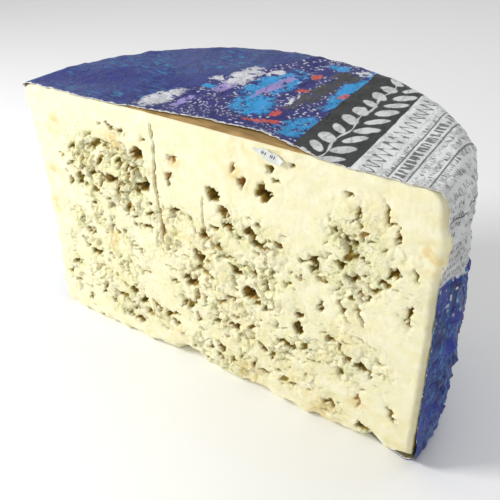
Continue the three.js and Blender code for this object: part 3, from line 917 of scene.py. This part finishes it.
# The flank's navy starts below the picture, at a ragged line, and has white dots
# where it meets the label.
low_down = mottle(tree, sheet, 14, detail=4, rough=0.6)
low_down = add(tree, "Math", [(0, low_down), (1, 34), (2, from_middle)], operation="MULTIPLY_ADD")
on_flank = add(tree, "MapRange", [(0, low_down), (1, 120), (2, 122)])
colour = add(tree, "Mix", [(0, on_flank), (6, colour), (7, side)], 2, data_type="RGBA")
splashes = together(
    tree, "MULTIPLY", dots(tree, 3.1, 0.3),
    add(tree, "MapRange", [(0, sheet_across), (1, 145), (2, 126)]),
    add(tree, "MapRange", [(0, sheet_across), (1, 108), (2, 112)]),
)
colour = add(tree, "Mix", [(0, splashes), (6, colour), (7, "#e6eaf2")], 2, data_type="RGBA")

# The dark band: from_band is how far right of its middle a point is.
BAND_MIDDLE = 48
BAND_HALF = 12
from_band = add(tree, "Math", [(0, sheet_back), (1, 0.05), (2, sheet_across)], operation="MULTIPLY_ADD")
from_band = add(tree, "Math", [(0, from_band), (1, BAND_MIDDLE)], operation="SUBTRACT")
band = stripe(tree, from_band, 0, BAND_HALF, 0.1)
blacks = mottle(tree, sheet, 3, detail=4, rough=0.6, stretch=(1, 0.4, 1))
blacks = add(tree, "Mix", [(0, blacks), (6, "#141618"), (7, "#3c3e3e")], 2, data_type="RGBA")
colour = add(tree, "Mix", [(0, band), (6, colour), (7, blacks)], 2, data_type="RGBA")


def winding(tree, middle, swing, length, width, start):
    """A brushed line along the band, thick and thin by turns."""
    turn = add(
        tree, "Math", [(0, sheet_back), (1, 2 * math.pi / length), (2, start)], operation="MULTIPLY_ADD",
    )
    sway = add(tree, "Math", [(0, turn)], operation="SINE")
    line = add(tree, "Math", [(0, sway), (1, swing), (2, middle)], operation="MULTIPLY_ADD")
    swell = add(tree, "Math", [(0, turn), (1, 1.9)], operation="MULTIPLY")
    swell = add(tree, "Math", [(0, swell)], operation="COSINE")
    half_width = add(
        tree, "Math", [(0, swell), (1, width * 0.55), (2, width)], operation="MULTIPLY_ADD",
    )
    return stripe(tree, from_band, line, half_width, 0.15)


# Along it runs a stem with white leaves in pairs, one each side.
LEAF_PAIRS = 11
LEAF_SPACING = 8.6
LEAF_OUT = 3.9
garland = [winding(tree, 0, 0.8, 21, 0.4, 0.4)]
for step in range(LEAF_PAIRS):
    along = step * LEAF_SPACING
    right = (BAND_MIDDLE + 0.4 + LEAF_OUT, along + 1)
    left = (BAND_MIDDLE - 0.8 - LEAF_OUT, along - 2)
    right_size = (4.7, 2.0 + 0.5 * (step % 2))
    left_size = (4.5, 1.9 + 0.4 * (step % 3))
    garland.append(blot(tree, firm, right, right_size, 38 + 6 * (step % 3), 0.08))
    garland.append(blot(tree, firm, left, left_size, 142 - 7 * (step % 2), 0.08))
garland = together(tree, "MULTIPLY", together(tree, "MAXIMUM", *garland), band)
colour = add(tree, "Mix", [(0, garland), (6, colour), (7, "#e4e6e6")], 2, data_type="RGBA")

# The label right of the band: off-white and ruled, with a flourish, a row of
# bars and rows of small grey ticks in place of print.
RULES = (24.3, 30.3, 37.5, 52.0)
ROW_SPACING = 3.1
label = together(
    tree, "MULTIPLY",
    add(tree, "MapRange", [(0, from_band), (1, BAND_HALF - 0.1), (2, BAND_HALF + 0.1)]),
    add(tree, "MapRange", [(0, sheet_across), (1, 123), (2, 122)]),
)
in_row = add(tree, "Math", [(0, from_band), (1, 1 / ROW_SPACING)], operation="MULTIPLY")
in_row = add(tree, "Math", [(0, in_row)], operation="FRACT")
in_row = add(tree, "Math", [(0, in_row), (1, 0.5)], operation="SUBTRACT")
in_row = add(tree, "Math", [(0, in_row)], operation="ABSOLUTE")
ticks = together(
    tree, "MULTIPLY",
    add(tree, "MapRange", [(0, in_row), (1, 0.3), (2, 0.24)]),
    mottle(tree, sheet, 0.75, 0.52, 0.58, 1, stretch=(0.3, 1, 1)),
    mottle(tree, sheet, 7, 0.4, 0.43, 1, stretch=(0.5, 1, 1)),
    add(tree, "MapRange", [(0, from_band), (1, 20.6), (2, 20.9)]),
    add(tree, "MapRange", [(0, stripe(tree, from_band, 27.2, 2.6)), (1, 1), (2, 0)]),
)
flourish = together(
    tree, "MULTIPLY", winding(tree, 17.2, 2.3, 4.6, 0.8, 1), mottle(tree, sheet, 9, 0.3, 0.34, 1),
)
bars = together(
    tree, "MULTIPLY", stripe(tree, from_band, 27.2, 1.7),
    mottle(tree, sheet, 1.5, 0.47, 0.5, 1, stretch=(0.2, 1, 1)),
    mottle(tree, sheet, 11, 0.36, 0.4, 1, stretch=(0.5, 1, 1)),
)
rules = [stripe(tree, from_band, at, 0.3) for at in RULES]
inked = together(tree, "MAXIMUM", ticks, flourish, bars, *rules)
inked = together(tree, "MULTIPLY", inked, 0.8)
label_colour = add(tree, "Mix", [(0, inked), (6, "#f6f8f8"), (7, "#2c3438")], 2, data_type="RGBA")
colour = add(tree, "Mix", [(0, label), (6, colour), (7, label_colour)], 2, data_type="RGBA")

# Where the knife tore it, the ink has flaked off along the edge, less so down
# the flank.
FLAKE_REACH = 3.4
from_edge = add(tree, "Attribute", out="Fac", attribute_name="edge")
flaking = mottle(tree, sheet, 1.6, detail=3, most=FLAKE_REACH)
flaking = add(tree, "Math", [(0, flaking), (1, on_flank)], operation="SUBTRACT")
bare = add(tree, "Math", [(0, from_edge), (1, flaking)], operation="SUBTRACT")
bare = add(tree, "MapRange", [(0, bare), (1, -0.9), (2, -1.2)])
colour = add(tree, "Mix", [(0, bare), (6, colour), (7, "#eceae4")], 2, data_type="RGBA")

# Fine wrinkles, longer folds across them, and a satin gloss that is uneven.
wrinkle = mottle(tree, wavy, 2.6, detail=4, rough=0.62, stretch=(1, 0.55, 1))
ridges = add(tree, "Math", [(0, wrinkle), (1, 0.5)], operation="SUBTRACT")
ridges = add(tree, "Math", [(0, ridges)], operation="ABSOLUTE")
folds = mottle(tree, wavy, 7, detail=3, stretch=(1, 0.3, 1))
folds = stripe(tree, folds, 0.5, 0.025, 0.025)
fine_wrinkle = mottle(tree, sheet, 0.9, detail=3, rough=0.6)
height = add(tree, "Math", [(0, folds), (1, 0.45), (2, ridges)], operation="MULTIPLY_ADD")
height = add(tree, "Math", [(0, fine_wrinkle), (1, 0.12), (2, height)], operation="MULTIPLY_ADD")
bumped = add(tree, "Bump", [("Strength", 0.85), ("Distance", 0.0019), ("Height", height)])
satin = add(tree, "MapRange", [(0, wrinkle), (3, 0.22), (4, 0.42)])
shader = add(tree, "BsdfPrincipled", [
    ("Base Color", colour), ("Roughness", satin), ("IOR", 1.5), ("Normal", bumped),
])
add(tree, "OutputMaterial", [("Surface", shader)])

# The foil's bare inner side: dull aluminium, darkened by the rind's moisture.
bare_material, tree = new_material("bare_aluminium_foil")
place = place_on_piece(tree)
damp = mottle(tree, place, 6, detail=3)
colour = add(tree, "Mix", [(0, damp), (6, "#b9b7b0"), (7, "#8f897a")], 2, data_type="RGBA")
rolled = mottle(tree, place, 1.2, detail=3)
bumped = add(tree, "Bump", [("Strength", 0.4), ("Distance", 0.0004), ("Height", rolled)])
shader = add(tree, "BsdfPrincipled", [
    ("Base Color", colour), ("Metallic", 0.85), ("Roughness", 0.42), ("Normal", bumped),
])
add(tree, "OutputMaterial", [("Surface", shader)])

foil.data.materials[0] = print_material
foil.data.materials[1] = bare_material
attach(foil, "root")
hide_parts("foil_wrapper")


# ---------------------------------------------------------------------------
# The scrap of foil on the cut face
# ---------------------------------------------------------------------------
# A sliver of the label's foil that the knife tore off and left pressed into the
# paste, just below the top edge. Its ends are ragged and one corner curls up.

scrap_low, scrap_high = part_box("foil_scrap")
SCRAP_LONG = 12.5
SCRAP_HIGH = 3.6
SCRAP_COLUMNS = 60
SCRAP_ROWS = 18
SCRAP_SLOPE = math.radians(-12)
bpy.ops.object.select_all(action="DESELECT")
bpy.ops.mesh.primitive_grid_add(
    x_subdivisions=SCRAP_COLUMNS, y_subdivisions=SCRAP_ROWS, size=1, location=(0, 0, 0),
)
scrap = bpy.context.object
scrap.name = "torn_foil_scrap"
start = read_corners(scrap)
along, over = start[:, 0] * SCRAP_LONG, start[:, 1] * SCRAP_HIGH
taper = 1 - 0.75 * smooth(-along, 0.5, SCRAP_LONG / 2) - 0.35 * smooth(along, 3, SCRAP_LONG / 2)
over = over * taper + 0.5 * bumps(along, over * 0, 3.2, 80) + 0.25 * bumps(along, over * 0, 1.1, 81)
along = along + 0.7 * bumps(over, along * 0, 1.5, 82)
curl = 0.25 * bumps(along, over, 2.6, 83) + 0.7 * smooth(along, 3.5, 7) ** 2
middle = (scrap_low + scrap_high) * 500 - axis_foot * 1000
scrap_points = np.stack([
    middle.x + along * math.cos(SCRAP_SLOPE) - over * math.sin(SCRAP_SLOPE),
    middle.y + 0.25 - curl,
    middle.z + 0.6 + along * math.sin(SCRAP_SLOPE) + over * math.cos(SCRAP_SLOPE),
], axis=1)
write_points(scrap, scrap_points)
write_sheet(scrap, along, over)
edit(scrap)
bpy.ops.mesh.select_all(action="SELECT")
bpy.ops.mesh.normals_make_consistent(inside=False)
bpy.ops.object.mode_set(mode="OBJECT")
wall = scrap.modifiers.new("foil_thickness", "SOLIDIFY")
wall.thickness = FOIL_THICK / 1000
wall.offset = 0
bpy.ops.object.modifier_apply(modifier=wall.name)
bpy.ops.object.shade_smooth()

# The label's ground, with the ends of two rows of its ticks.
TICKS = (-2.0, -1.4, -0.6, 1.5, 2.1, 2.9)
scrap_material, tree = new_material("printed_label_foil")
sheet = add(tree, "Attribute", out="Vector", attribute_name="sheet")
inked = together(
    tree, "MAXIMUM", *[blot(tree, sheet, (at, 0.25), (0.2, 0.7), -14, 0.2) for at in TICKS],
)
rubbed = mottle(tree, sheet, 1.6, detail=3)
colour = add(tree, "Mix", [(0, rubbed), (6, "#eceee9"), (7, "#cfd3cf")], 2, data_type="RGBA")
colour = add(tree, "Mix", [(0, inked), (6, colour), (7, "#2e3436")], 2, data_type="RGBA")
wrinkle = mottle(tree, sheet, 0.8, detail=3)
bumped = add(tree, "Bump", [("Strength", 0.4), ("Distance", 0.0004), ("Height", wrinkle)])
shader = add(tree, "BsdfPrincipled", [
    ("Base Color", colour), ("Roughness", 0.42), ("IOR", 1.5), ("Normal", bumped),
])
add(tree, "OutputMaterial", [("Surface", shader)])
scrap.data.materials.append(scrap_material)
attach(scrap, "root")
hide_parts("foil_scrap")


# ---------------------------------------------------------------------------
# The table top, the lights and the camera
# ---------------------------------------------------------------------------
# A sheet of matt white paper under the cheese, one key light from the left, two
# large soft ones, and a camera a little above the half wheel, to its right.

bpy.ops.object.select_all(action="DESELECT")
bpy.ops.mesh.primitive_plane_add(size=8, location=(0, 0, cad_low.z))
floor = bpy.context.object
floor.name = "pale_floor"
floor_material, tree = new_material("pale_paper")
shader = add(tree, "BsdfPrincipled", [("Base Color", "#f7f7f7"), ("Roughness", 0.9)])
add(tree, "OutputMaterial", [("Surface", shader)])
floor.data.materials.append(floor_material)

world = bpy.data.worlds.new("studio")
bpy.context.scene.world = world
world.use_nodes = True
background = world.node_tree.nodes["Background"]
background.inputs["Color"].default_value = linear("#ffffff")
background.inputs["Strength"].default_value = 0.43
bpy.context.scene.view_settings.view_transform = "Standard"


def soft_light(name, where, aim, size, power):
    lamp = bpy.data.lights.new(name, "AREA")
    lamp.shape = "SQUARE"
    lamp.size = size
    lamp.energy = power
    light = bpy.data.objects.new(name, lamp)
    bpy.context.scene.collection.objects.link(light)
    light.location = where
    light.rotation_euler = (aim - where).to_track_quat("-Z", "Y").to_euler()


heart = (cad_low + cad_high) / 2
soft_light("key", heart + Vector((-0.45, -0.36, 0.36)), heart, 0.2, 3.5)
soft_light("fill", heart + Vector((0.8, -0.6, 0.5)), heart, 0.8, 0.55)
soft_light("top", heart + Vector((0.1, 0.4, 0.9)), heart, 0.7, 2.6)

# The camera looks at a point given in metres from the axis's foot.
CAMERA_AIM = Vector((0.0301, -0.0122, 0.0810))
CAMERA_AZIMUTH = 35.34
CAMERA_ELEVATION = 33.44
CAMERA_DISTANCE = 0.2379
CAMERA_ROLL = -1.68
aim = axis_foot + CAMERA_AIM
azimuth, elevation = math.radians(CAMERA_AZIMUTH), math.radians(CAMERA_ELEVATION)
back = Vector((
    math.sin(azimuth) * math.cos(elevation),
    -math.cos(azimuth) * math.cos(elevation),
    math.sin(elevation),
))
lens = bpy.data.cameras.new("camera")
lens.lens = 50
lens.clip_start = 0.01
camera = bpy.data.objects.new("camera", lens)
bpy.context.scene.collection.objects.link(camera)
camera.location = aim + back * CAMERA_DISTANCE
camera.rotation_mode = "QUATERNION"
turn = (-back).to_track_quat("-Z", "Y")
camera.rotation_quaternion = turn @ Quaternion((0, 0, 1), math.radians(CAMERA_ROLL))
bpy.context.scene.camera = camera
